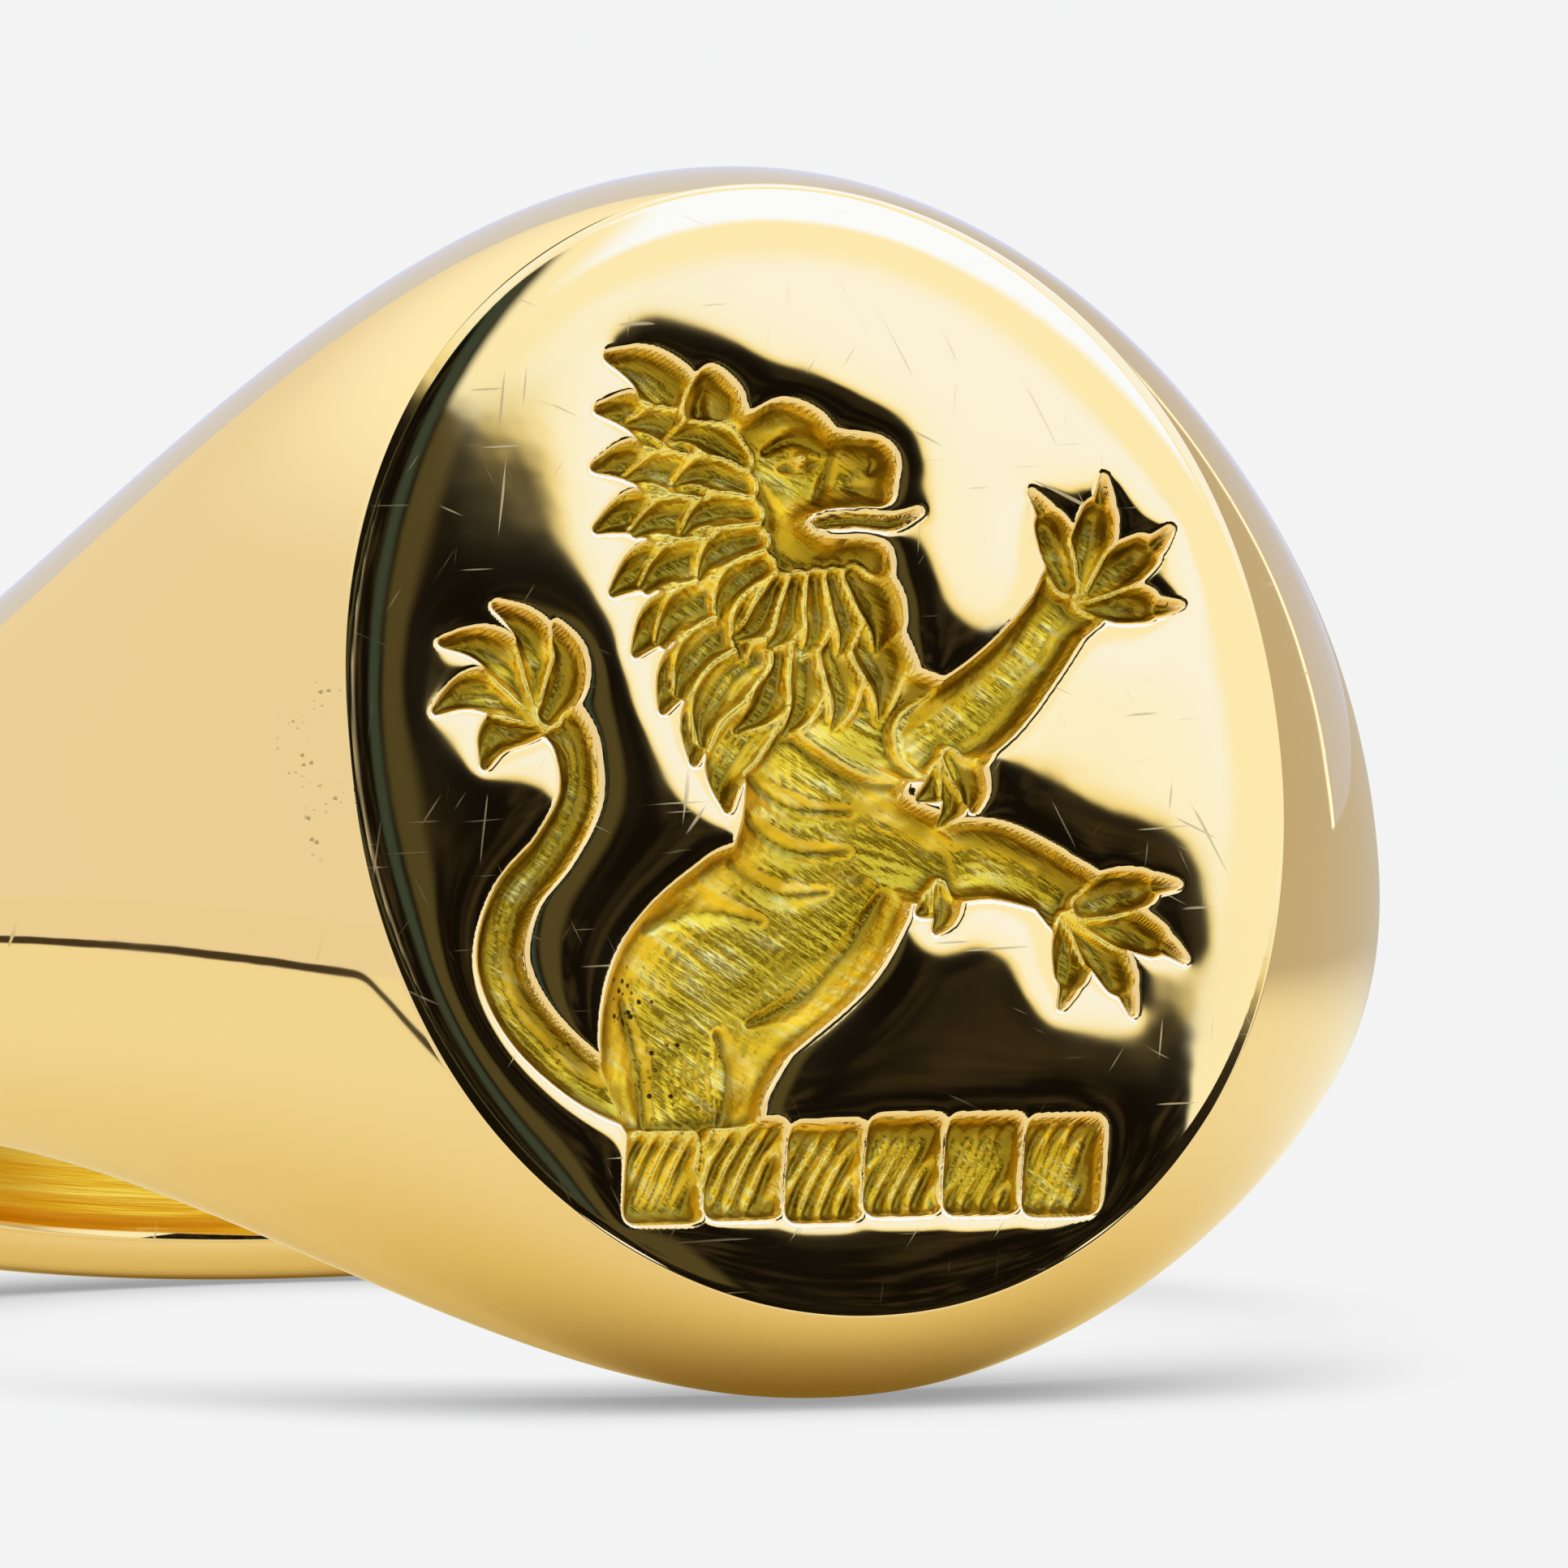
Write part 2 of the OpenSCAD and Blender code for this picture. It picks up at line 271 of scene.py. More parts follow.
class Field:
    """Depth of the cuts over points of the face."""

    def __init__(self, u, v):
        self.u, self.v = u, v
        self.cut = np.zeros_like(u)
        self.count = 0

    def stroke(self, path, depth, hairs=0.0, pitch=0.12, power=2.4, keep=1.0, add=False):
        """One cut along path. hairs is the height of the fine marks along it. keep is the share that is
        left, at its edges, of deeper cuts made before it. add makes it deepen what is there."""
        self.count += 1
        lo = path[:, :2].min(0) - path[:, 2].max()
        hi = path[:, :2].max(0) + path[:, 2].max()
        m = (self.u > lo[0]) & (self.u < hi[0]) & (self.v > lo[1]) & (self.v < hi[1])
        u, v = self.u[m], self.v[m]
        best = np.full(u.shape, 99.0)
        along, across, half = np.zeros_like(u), np.zeros_like(u), np.ones_like(u)
        start = 0.0
        for a, b in zip(path[:-1], path[1:]):
            d = b[:2] - a[:2]
            n = max(np.hypot(*d), 1e-9)
            du, dv = u - a[0], v - a[1]
            t = np.clip((du * d[0] + dv * d[1]) / (n * n), 0, 1)
            r = a[2] + (b[2] - a[2]) * t
            s = np.hypot(du - d[0] * t, dv - d[1] * t) - r
            nearer = s < best
            best = np.where(nearer, s, best)
            along = np.where(nearer, start + n * t, along)
            across = np.where(nearer, (d[0] * dv - d[1] * du) / n, across)
            half = np.where(nearer, np.maximum(r, 0.02), half)
            start += n
        e = np.clip(-best / half, 0, 1)
        cut = depth * (e * e * (3 - 2 * e) if add else rounded(e, power))
        if hairs:
            wob = 0.30 * np.sin(along * 2.1 + self.count) + 0.2 * np.sin(along * 4.7 + across * 3)
            lines = np.abs(np.sin(np.pi * (across / pitch + wob)))
            fade = 0.65 + 0.35 * np.sin(along * 3.3 + across * 2.2 + self.count * 1.7)
            cut = cut - hairs * (1 - lines) * fade * np.minimum(1, 4 * e)
        old = self.cut[m]
        if add:
            new = old + np.where(old > 0, cut, 0)
        else:
            new = np.maximum(cut, old * keep)
        self.cut[m] = np.where(best < 0, np.maximum(new, 0), old)

    def shape(self, points, depth, soft, keep=1.0, power=2.2):
        """A cut with a closed outline, rounded over soft in from its edge."""
        p = smooth(points, 4, closed=True)
        lo, hi = p.min(0), p.max(0)
        m = (self.u > lo[0]) & (self.u < hi[0]) & (self.v > lo[1]) & (self.v < hi[1])
        u, v = self.u[m], self.v[m]
        near = np.full(u.shape, 99.0)
        inside = np.zeros(u.shape, bool)
        for a, b in zip(p, np.roll(p, -1, axis=0)):
            d = b - a
            du, dv = u - a[0], v - a[1]
            t = np.clip((du * d[0] + dv * d[1]) / max(d @ d, 1e-12), 0, 1)
            near = np.minimum(near, np.hypot(du - d[0] * t, dv - d[1] * t))
            if abs(d[1]) > 1e-12:
                crosses = (a[1] > v) != (b[1] > v)
                inside ^= crosses & (u < a[0] + d[0] * (v - a[1]) / d[1])
        cut = depth * rounded(np.clip(near / soft, 0, 1), power)
        old = self.cut[m]
        self.cut[m] = np.where(inside, np.maximum(cut, old * keep), old)

    def knob(self, centre, radius, height):
        """A round boss left standing in a cut."""
        d = np.hypot(self.u - centre[0], self.v - centre[1]) / radius
        self.cut = np.maximum(self.cut - height * np.exp(-d ** 4), 0)


def ray(root, degrees, length):
    """The point at a distance from root, in a direction."""
    a = math.radians(degrees)
    return [root[0] + length * math.cos(a), root[1] + length * math.sin(a)]


def lock(field, root, aim, length, half, depth=0.40, curl=30, keep=0.5):
    """A flame-shaped lock of hair that leaves root, swells, and bends by curl towards its tip."""
    one = ray(root, aim + 0.5 * curl, 0.38 * length)
    two = ray(one, aim - 0.1 * curl, 0.34 * length)
    tip = ray(two, aim - 1.3 * curl, 0.34 * length)
    path = [[*root, half * 0.7], [*one, half], [*two, half * 0.68], [*tip, 0.02]]
    field.stroke(smooth(path, 6), depth, hairs=0.05, pitch=0.13, keep=keep)


def paw(field, wrist, aim, fan, curl):
    """A pad with four toes and their claws."""
    pad = ray(wrist, aim, 0.5)
    field.stroke(smooth([[*wrist, 0.36], [*pad, 0.47]], 4), 0.42, hairs=0.03)
    for turn, reach in zip((-1.0, -0.36, 0.3, 0.95), (0.78, 0.95, 0.95, 0.78)):
        way = aim + turn * fan
        base = ray(pad, way, 0.18)
        knuckle = ray(pad, way, 0.55 * reach + 0.1)
        end = ray(knuckle, way + 0.25 * curl, 0.42 * reach)
        claw = ray(ray(end, way + 0.2 * curl, 0.28), way + 1.3 * curl, 0.24)
        mid = ray(end, way + 0.1 * curl, 0.2)
        field.stroke(smooth([[*end, 0.11], [*mid, 0.10], [*claw, 0.01]], 5), 0.20)
        toe = smooth([[*base, 0.20], [*knuckle, 0.265], [*end, 0.20]], 5)
        field.stroke(toe, 0.38, hairs=0.03, keep=0.45)


def torse(field, middle, turns, pitch, height):
    """A bar of twisted cloth: blocks that meet, each with slanting folds in it."""
    for i in range(turns):
        x = middle[0] + (i - (turns - 1) / 2) * pitch
        y = middle[1] + 0.035 * math.sin(i * 2.3)
        du, dv = field.u - x, field.v - y
        lean = du - 0.16 * dv
        a, b = lean / (pitch / 2 - 0.015), dv / (height / 2)
        corner = (np.abs(a) ** 8 + np.abs(b) ** 8) ** 0.125
        e = np.clip((1 - corner) * pitch / 2 / 0.2, 0, 1)
        wave = (du - 0.62 * dv) / 0.24 + 0.10 * np.sin(6 * dv + i) + 0.37 * i
        folds = np.abs(np.sin(np.pi * wave)) ** 1.5
        uneven = 0.6 + 0.4 * np.sin(3 * dv + i)
        cut = 0.36 * rounded(e, 2.2) - 0.14 * folds * np.minimum(1, 3 * e) * uneven
        field.cut = np.where(corner < 1, np.maximum(cut, 0.05), field.cut)


def draw(field):
    """The demi-lion and its torse, from what lies lowest to what lies on top."""
    for points, depth in TAIL:
        field.stroke(smooth(points, 8), depth, hairs=0.03, pitch=0.16)
    for aim, length, half in TUFT:
        lock(field, TUFT_ROOT, aim, length, half, 0.34, -28, 0.45)
    for points, depth in LOWER_LEG:
        field.stroke(smooth(points, 8), depth, hairs=0.03, pitch=0.15)
    paw(field, [2.85, -1.75], -42, 60, -16)
    for points, depth in BODY:
        field.stroke(smooth(points, 8), depth, hairs=0.02, pitch=0.15)
    for points, depth in UPPER_LEG:
        field.stroke(smooth(points, 8), depth, hairs=0.03, pitch=0.15, keep=0.7)
    paw(field, [3.3, 1.55], 48, 62, 16)
    for points, depth in GROOVES:
        field.stroke(smooth(points, 6), depth, add=True)
    # mane: three rows of locks, each over the one before, and the face over them all
    for i in range(9):
        root = [-1.15 + 0.08 * i, 3.85 - 0.42 * i]
        lock(field, root, 128 + 13 * i, 1.75 - 0.05 * abs(i - 3), 0.36, 0.40, -26)
    for i in range(4):
        lock(field, [-0.2 + 0.30 * i, 1.35 + 0.1 * i], 240 + 16 * i, 1.3, 0.29, 0.50, 22)
    for i in range(7):
        root = [-0.75 + 0.03 * i, 3.6 - 0.40 * i]
        lock(field, root, 150 + 13 * i, 1.45, 0.32, 0.48, -26)
    field.shape(HEAD, 0.50, 0.5, keep=0.35)
    for points, depth in FEATURES:
        field.stroke(smooth(points, 6), depth, add=True)
    field.knob(EYE, 0.10, 0.15)
    field.stroke(smooth(TONGUE, 6), 0.18)
    for i in range(6):
        root = [-0.5 + 0.04 * i, 3.75 - 0.34 * i]
        lock(field, root, 158 + 16 * i, 1.0, 0.25, 0.52, -26)
    for i in range(5):
        lock(field, [-0.15 + 0.24 * i, 2.15 + 0.02 * i], 228 + 15 * i, 1.0, 0.23, 0.52, 20)
    for aim, length in ((232, 0.8), (258, 0.95), (286, 0.75)):
        lock(field, [1.8, -0.1], aim, length, 0.19, 0.34, 20, 0.6)
    for aim, length in ((228, 0.55), (256, 0.65)):
        lock(field, [1.5, -1.75], aim, length, 0.16, 0.30, 20, 0.6)
    torse(field, (0.08, -5.33), 6, 1.04, 1.2)


def blurred(values, sigma, step):
    """values on a square grid, spread by a bell curve sigma wide."""
    n = int(math.ceil(3 * sigma / step))
    k = np.exp(-0.5 * (np.arange(-n, n + 1) * step / sigma) ** 2)
    k /= k.sum()
    values = np.apply_along_axis(lambda row: np.convolve(row, k, "same"), 0, values)
    return np.apply_along_axis(lambda row: np.convolve(row, k, "same"), 1, values)


CUT_REACH = 7.4     # half the size of the grid on which the cuts are worked out
CUT_STEP = 0.02     # its spacing
CUT_SOFT = 0.022    # the lip of a cut is rounded over about this
GROOVE_REACH = 0.11  # what is deeper than the metal within this reach is a groove
GROOVE_FULL = 0.12   # and by this much it is a full one
CUT_SHOWS = 0.55    # share of cut metal from which a place begins to look cut
CUT_BLEND = 0.35    # and how much more of it makes the look complete
# Depth and spread of the metal that polishing has taken off beside the cuts
NEAR_DIP = (0.012, 0.12)
WIDE_DIP = (0.050, 0.36)


def engraving():
    """A row of grid places, and over that square grid: the depth of the cuts with the metal worn off
    beside them, the share that is cut, and how much deeper a place is than those round it."""
    g = np.arange(-CUT_REACH, CUT_REACH, CUT_STEP)
    u, v = np.meshgrid(g, g)
    field = Field(u, v)
    draw(field)
    cut_here = (field.cut > 0).astype(float)
    depth = blurred(field.cut, CUT_SOFT, CUT_STEP)
    for drop, spread in (NEAR_DIP, WIDE_DIP):
        depth = depth + drop * blurred(cut_here, spread, CUT_STEP)
    groove = field.cut - blurred(field.cut, GROOVE_REACH, CUT_STEP)
    return g, depth, blurred(cut_here, CUT_SOFT, CUT_STEP), blurred(groove, CUT_SOFT, CUT_STEP)


def sampled(g, values, u, v):
    """values on the square grid, read between its points."""
    step = g[1] - g[0]
    i, j = (v - g[0]) / step, (u - g[0]) / step
    i0 = np.clip(i.astype(int), 0, len(g) - 2)
    j0 = np.clip(j.astype(int), 0, len(g) - 2)
    i, j = i - i0, j - j0
    low = values[i0, j0] * (1 - j) + values[i0, j0 + 1] * j
    high = values[i0 + 1, j0] * (1 - j) + values[i0 + 1, j0 + 1] * j
    return low * (1 - i) + high * i


# ---------------------------------------------------------------- meshes

def add_piece(name, points, faces, node):
    """A closed mesh that rides on the ring and stands for one CAD node."""
    mesh = bpy.data.meshes.new(name)
    mesh.from_pydata(place(points).tolist(), [], faces)
    mesh.validate()
    mesh.update()
    mesh.shade_smooth()
    piece = bpy.data.objects.new(name, mesh)
    bpy.context.collection.objects.link(piece)
    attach(piece, "root")
    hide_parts(node)
    return piece


def mark_points(piece, name, first, values):
    """Gives the piece's points a number for its material to read: values from first on, 0 elsewhere."""
    numbers = np.zeros(len(piece.data.vertices), np.float32)
    numbers[first:first + len(values)] = values
    piece.data.attributes.new(name, "FLOAT", "POINT").data.foreach_set("value", numbers)


def grid_faces(rows, cols, first=0, wrap=False):
    """Quads of a grid whose points are numbered row by row from first."""
    faces = []
    for i in range(rows - 1):
        here = first + i * cols
        after = here + cols
        for j in range(cols if wrap else cols - 1):
            k = (j + 1) % cols
            faces.append((here + j, here + k, after + k, after + j))
    return faces


def disc_grid(n):
    """Points of an n by n grid of cells, spread over a unit disc."""
    t = np.linspace(-1, 1, n + 1)
    a, b = np.meshgrid(t, t)
    return a * np.sqrt(1 - b * b / 2), b * np.sqrt(1 - a * a / 2)


def rim_order(n):
    """Numbers of a disc grid's outer points, once round, starting at the lower left."""
    w = n + 1
    low = list(range(n))
    right = [i * w + n for i in range(n)]
    top = [n * w + j for j in range(n, 0, -1)]
    left = [i * w for i in range(n, 0, -1)]
    return low + right + top + left


def build_head():
    """Head and shoulders as one closed mesh: engraved face, wall, hole and the two ends."""
    edge_a, edge_q = face_outline(RIM_STEPS)
    edge = band_point(edge_a, edge_q)
    turn = np.arctan2(edge[:, 2], edge[:, 0])
    order = np.argsort(turn)
    turn, edge_a, edge_q = turn[order], edge_a[order], edge_q[order]
    reach = np.hypot(edge[order, 0], edge[order, 2])

    # Face
    x, y = disc_grid(FACE_CELLS)
    x, y = x.ravel(), y.ravel()
    aim = np.arctan2(y, x)
    r = np.hypot(x, y) * np.interp(aim, turn, reach, period=2 * math.pi)
    u, v = r * np.cos(aim), r * np.sin(aim)
    g, depth, cut_share, groove = engraving()
    face = np.stack([u, -(FACE_H - face_sag(u, v) - sampled(g, depth, u, v)), v], -1)
    rim = rim_order(FACE_CELLS)
    rim_a = np.interp(aim[rim], turn, edge_a, period=2 * math.pi)
    rim_q = np.interp(aim[rim], turn, edge_q, period=2 * math.pi)
    face[rim] = band_point(rim_a, rim_q)

    # Wall: from each point of the rim straight out, in angle and q, to the ends and the hole's edges
    grow = np.minimum(SEAM_A / np.maximum(np.abs(rim_a), 1e-9), 1 / np.maximum(np.abs(rim_q), 1e-9))
    out_a, out_q = rim_a * grow, rim_q * grow
    for sa in (-1, 1):
        for sq in (-1, 1):
            k = np.argmin(np.abs(out_a - sa * SEAM_A) / SEAM_A + np.abs(out_q - sq))
            out_a[k], out_q[k] = sa * SEAM_A, sq
    rings = [face]
    n_rim = len(rim)
    shares = (np.arange(1, WALL_RINGS + 1) / WALL_RINGS) ** RING_CROWDING
    for share in shares:
        a = rim_a + (out_a - rim_a) * share
        q = rim_q + (out_q - rim_q) * share
        rings.append(band_point(a, q))
    first_ring = len(face)
    faces = grid_faces(FACE_CELLS + 1, FACE_CELLS + 1)
    before = np.array(rim)
    for i in range(WALL_RINGS):
        now = first_ring + i * n_rim + np.arange(n_rim)
        for j in range(n_rim):
            k = (j + 1) % n_rim
            faces.append((int(before[j]), int(now[j]), int(now[k]), int(before[k])))
        before = now

    # Hole: rows between its lower and its upper edge
    last = first_ring + (WALL_RINGS - 1) * n_rim
    low = [j for j in range(n_rim) if out_q[j] <= -1 + 1e-9]
    high = [j for j in range(n_rim) if out_q[j] >= 1 - 1e-9]
    low.sort(key=lambda j: out_a[j])
    high.sort(key=lambda j: out_a[j])
    assert len(low) == len(high), "the hole's two edges differ"
    count = len(low)
    ends = rings[-1]
    start = first_ring + WALL_RINGS * n_rim
    rows = []
    for i in range(1, BORE_ROWS):
        s = i / BORE_ROWS
        p = ends[low] * (1 - s) + ends[high] * s
        flat = np.hypot(p[:, 0], p[:, 1])
        p[:, 0] *= BORE_R / flat
        p[:, 1] *= BORE_R / flat
        rows.append(p)
    table = [[last + j for j in low]]
    table += [[start + i * count + j for j in range(count)] for i in range(BORE_ROWS - 1)]
    table += [[last + j for j in high]]
    for lower, upper in zip(table[:-1], table[1:]):
        for j in range(count - 1):
            faces.append((lower[j], upper[j], upper[j + 1], lower[j + 1]))

    # Ends, where the solder is
    for side, column in ((-1, 0), (1, count - 1)):
        loop = [j for j in range(n_rim) if abs(out_a[j] - side * SEAM_A) < 1e-9]
        loop.sort(key=lambda j: out_q[j])
        ring = [last + j for j in loop] + [row[column] for row in table[-2:0:-1]]
        faces.append(tuple(ring if side > 0 else ring[::-1]))

    points = np.concatenate(rings + rows)
    head = add_piece("head_engraved", points, faces, "signet_head")
    mark_points(head, "cut", 0, np.clip((sampled(g, cut_share, u, v) - CUT_SHOWS) / CUT_BLEND, 0, 1))
    mark_points(head, "groove", 0, 0.5 + np.clip(sampled(g, groove, u, v) / GROOVE_FULL, -0.5, 0.5))
    mark_points(head, "bore", start, np.ones(len(points) - start))
    return head


def band_loops(angles, slides):
    """Closed sections of the band at the angles given: over its outside, and back along the hole."""
    q = np.linspace(-1, 1, OUTSIDE_STEPS)
    back = np.linspace(0, 1, INSIDE_STEPS + 2)[1:-1]
    loops = []
    for a, slide in zip(angles, slides):
        outside = band_point(np.full(OUTSIDE_STEPS, a), q, slide)
        top, low = outside[-1], outside[0]
        inside = top + (low - top) * back[:, None]
        loops.append(np.concatenate([outside, inside]))
    return loops


def build_band(name, angles, slides, node):
    """A length of the band with flat ends."""
    loops = band_loops(angles, slides)
    n = len(loops[0])
    faces = grid_faces(len(loops), n, wrap=True)
    faces.append(tuple(range(n - 1, -1, -1)))
    faces.append(tuple((len(loops) - 1) * n + j for j in range(n)))
    piece = add_piece(name, np.concatenate(loops), faces, node)
    bore = np.zeros((len(loops), n))
    bore[:, OUTSIDE_STEPS:] = 1
    mark_points(piece, "bore", 0, bore.ravel())
    return piece


def fix_normals(piece):
    """Turns every face of the piece outwards."""
    bm = bmesh.new()
    bm.from_mesh(piece.data)
    bmesh.ops.recalc_face_normals(bm, faces=bm.faces)
    bm.to_mesh(piece.data)
    bm.free()


head = build_head()
shank_angles = np.linspace(SEAM_A, 360 - SEAM_A, SHANK_STEPS + 1)
shank_slides = np.zeros(SHANK_STEPS + 1)
shank_slides[0], shank_slides[-1] = SEAM_T, -SEAM_T
shank = build_band("shank_band", shank_angles, shank_slides, "shank")
left_seam = build_band("solder_left", [-SEAM_A, -SEAM_A], [-SEAM_T, 0.0], "solder_seam_left")
right_seam = build_band("solder_right", [SEAM_A, SEAM_A], [0.0, SEAM_T], "solder_seam_right")
for piece in (head, shank, left_seam, right_seam):
    fix_normals(piece)


# ---------------------------------------------------------------- nodes

class Nodes:
    """Short ways to add nodes to one tree."""

    def __init__(self, tree, coordinates="Object"):
        self.tree = tree
        self.place = tree.nodes.new("ShaderNodeTexCoord").outputs[coordinates]

    def join(self, socket, value):
        if isinstance(value, (int, float)):
            socket.default_value = value
        elif isinstance(value, tuple):
            socket.default_value = (*value, 1) if len(socket.default_value) == 4 else value
        else:
            self.tree.links.new(value, socket)

    def math(self, operation, a, b=0.0):
        node = self.tree.nodes.new("ShaderNodeMath")
        node.operation = operation
        self.join(node.inputs[0], a)
        self.join(node.inputs[1], b)
        return node.outputs[0]

    def product(self, first, *others):
        for other in others:
            first = self.math("MULTIPLY", first, other)
        return first

    def larger(self, a, b, rounding):
        """The larger of two values, with the corner between them rounded."""
        result = self.math("SMOOTH_MAX", a, b)
        result.node.inputs[2].default_value = rounding
        return result

    def ramp(self, value, low, high):
        """0 below low, 1 above high, smooth between; high below low turns it round."""
        node = self.tree.nodes.new("ShaderNodeMapRange")
        node.interpolation_type = "SMOOTHSTEP"
        self.join(node.inputs["Value"], value)
        node.inputs["From Min"].default_value = min(low, high)
        node.inputs["From Max"].default_value = max(low, high)
        node.inputs["To Min"].default_value = 0 if low < high else 1
        node.inputs["To Max"].default_value = 1 if low < high else 0
        return node.outputs["Result"]

    def strip(self, value, middle, half, soft):
        """1 within half of middle, 0 when soft further away."""
        rise = self.ramp(value, middle - half - soft, middle - half)
        return self.product(rise, self.ramp(value, middle + half + soft, middle + half))

    def mix(self, share, first, second):
        node = self.tree.nodes.new("ShaderNodeMix")
        colour = isinstance(first, tuple) or getattr(first, "type", "") == "RGBA"
        node.data_type = "RGBA" if colour else "FLOAT"
        self.join(node.inputs[0], share)
        self.join(node.inputs[6 if colour else 2], first)
        self.join(node.inputs[7 if colour else 3], second)
        return node.outputs[2 if colour else 0]

    def moved(self, turn=(0, 0, 0), scale=(1, 1, 1), shift=(0, 0, 0)):
        """The place, turned back by turn and then stretched, for a texture with a grain."""
        node = self.tree.nodes.new("ShaderNodeMapping")
        node.vector_type = "TEXTURE"
        self.join(node.inputs["Vector"], self.place)
        node.inputs["Rotation"].default_value = [math.radians(t) for t in turn]
        node.inputs["Scale"].default_value = [1 / k for k in scale]
        node.inputs["Location"].default_value = shift
        return node.outputs[0]

    def noise(self, where, scale, detail=2.0):
        node = self.tree.nodes.new("ShaderNodeTexNoise")
        self.join(node.inputs["Vector"], where)
        node.inputs["Scale"].default_value = scale
        node.inputs["Detail"].default_value = detail
        return node.outputs["Fac"]

    def cells(self, where, scale):
        node = self.tree.nodes.new("ShaderNodeTexVoronoi")
        self.join(node.inputs["Vector"], where)
        node.inputs["Scale"].default_value = scale
        return node.outputs["Distance"]

    def attribute(self, name):
        node = self.tree.nodes.new("ShaderNodeAttribute")
        node.attribute_name = name
        return node.outputs["Fac"]

    def along(self, axis):
        """How far the place, or the direction, goes along an axis."""
        node = self.tree.nodes.new("ShaderNodeVectorMath")
        node.operation = "DOT_PRODUCT"
        self.join(node.inputs[0], self.place)
        node.inputs[1].default_value = axis
        return node.outputs["Value"]

    def near(self, point, reach):
        """1 close to a point, given upright in millimetres, and 0 beyond reach."""
        node = self.tree.nodes.new("ShaderNodeVectorMath")
        node.operation = "DISTANCE"
        self.join(node.inputs[0], self.place)
        node.inputs[1].default_value = tuple(place(np.array(point)))
        return self.ramp(node.outputs["Value"], reach * MM, 0.4 * reach * MM)

    def openness(self, reach, samples):
        """1 in the open, less where something stands within reach."""
        node = self.tree.nodes.new("ShaderNodeAmbientOcclusion")
        node.inputs["Distance"].default_value = reach
        node.samples = samples
        return node.outputs["AO"]

    def seen_by_camera(self):
        return self.tree.nodes.new("ShaderNodeLightPath").outputs["Is Camera Ray"]

    def bump(self, height, distance, before=None):
        node = self.tree.nodes.new("ShaderNodeBump")
        node.inputs["Strength"].default_value = 1.0
        node.inputs["Distance"].default_value = distance
        self.join(node.inputs["Height"], height)
        if before is not None:
            self.join(node.inputs["Normal"], before)
        return node.outputs[0]


def new_material(name, shader_type):
    """A material that holds one shader."""
    material = bpy.data.materials.new(name)
    material.use_nodes = True
    tree = material.node_tree
    tree.nodes.clear()
    shader = tree.nodes.new(shader_type)
    out = tree.nodes.new("ShaderNodeOutputMaterial")
    tree.links.new(shader.outputs[0], out.inputs[0])
    return material, tree, shader


# ---------------------------------------------------------------- gold

GOLD = (0.95, 0.73, 0.36)
SOLDER = (0.93, 0.76, 0.45)
GOLD_ROUGHNESS = 0.035
SOLDER_ROUGHNESS = 0.06
SCRATCH_ROUGHNESS = 0.17
SMUDGE_SCALE = 420.0        # of the patches that are less smooth
UNEVEN_TONE = 0.015
TONE_SCALE = 160.0
ORANGE_PEEL = 0.0000012     # depth and scale of the faint waves that polishing leaves
PEEL_SCALE = 900.0

# A pair of numbers names where a look begins and where it is full.

# Scratches of wear: the way they are turned, in degrees, and how rare they are
SCRATCHES = (
    ((0, 12, 0), 0.735),
    ((0, -20, 10), 0.74),
    ((0, 38, 0), 0.745),
    ((0, 88, 0), 0.73),
    ((0, -62, 20), 0.745),
)
SCRATCH_SCALE = (14000, 700, 650)

# Floors of the cuts: as the graver leaves them, with a painted highlight along its strokes and on
# ridges, painted shade in patches, and painted shade deep in grooves
CUT_GOLD = (1.0, 0.67, 0.035)
CUT_PAINTED_HIGHLIGHT = (1.0, 0.84, 0.24)
CUT_PAINTED_SHADE = (0.66, 0.43, 0.02)
CUT_GROOVE_SHADE = (0.26, 0.17, 0.012)
CUT_ROUGHNESS = (0.2, 0.42)
CUT_RELIEF = 0.00004
STROKES_TURN = (0, 35, 0)
STROKES_SCALE = (1500, 1500, 9000)
PATCHES_TURN = (0, -20, 0)
PATCHES_SCALE = (900, 900, 2200)
GRAIN_SCALE = 9000.0
GRAIN_SHARE = 0.3
HIGHLIGHT_STROKES = (0.42, 0.72)
SHADED_PATCHES = (0.62, 0.38)
SHADED_GROOVES = (0.56, 0.86)
LIT_RIDGES = (0.40, 0.12)

# Casting pits: on the haunch, and on the left shoulder beside the face; painted shade darkens them
PIT_PAINTED_SHADE = (0.05, 0.035, 0.01)
PIT_DEPTH = 0.00003
PIT_SCALE = 8000.0
PIT_SIZE = (0.30, 0.16)
PITTED_SCALE = 1900.0       # the pits come in patches
PITTED = (0.50, 0.58)
HAUNCH_PITS = (-2.5, -FACE_H + 0.3, -3.6)
HAUNCH_REACH = 1.6
SHOULDER_PITS = [(-6.5, -11.66, up_side) for up_side in (-0.7, 0.1, 0.9)]
SHOULDER_REACH = 0.65

# The hole: rubbed round with emery and left dull, its pale and dark marks the emery's grain; its deep
# orange is painted light, bounced round inside it by the gold
BORE_BOUNCE_DARK = (0.90, 0.61, 0.035)
BORE_BOUNCE_PALE = (0.97, 0.75, 0.10)
PALE_MARKS = (0.4, 0.65)
BORE_ROUGHNESS = 0.24
BORE_SCALE = (300, 300, 7500)
BORE_RELIEF = 0.000008


def scratches(n):
    """Fine scratches of wear, most of them steep, a few across."""
    total = None
    for number, (turn, share) in enumerate(SCRATCHES):
        across = n.moved(turn, SCRATCH_SCALE, (0.011 * number, 0.003, 0))
        lines = n.ramp(n.noise(across, 1.0, 1.0), share, share + 0.05)
        total = lines if total is None else n.math("MAXIMUM", total, lines)
    return total


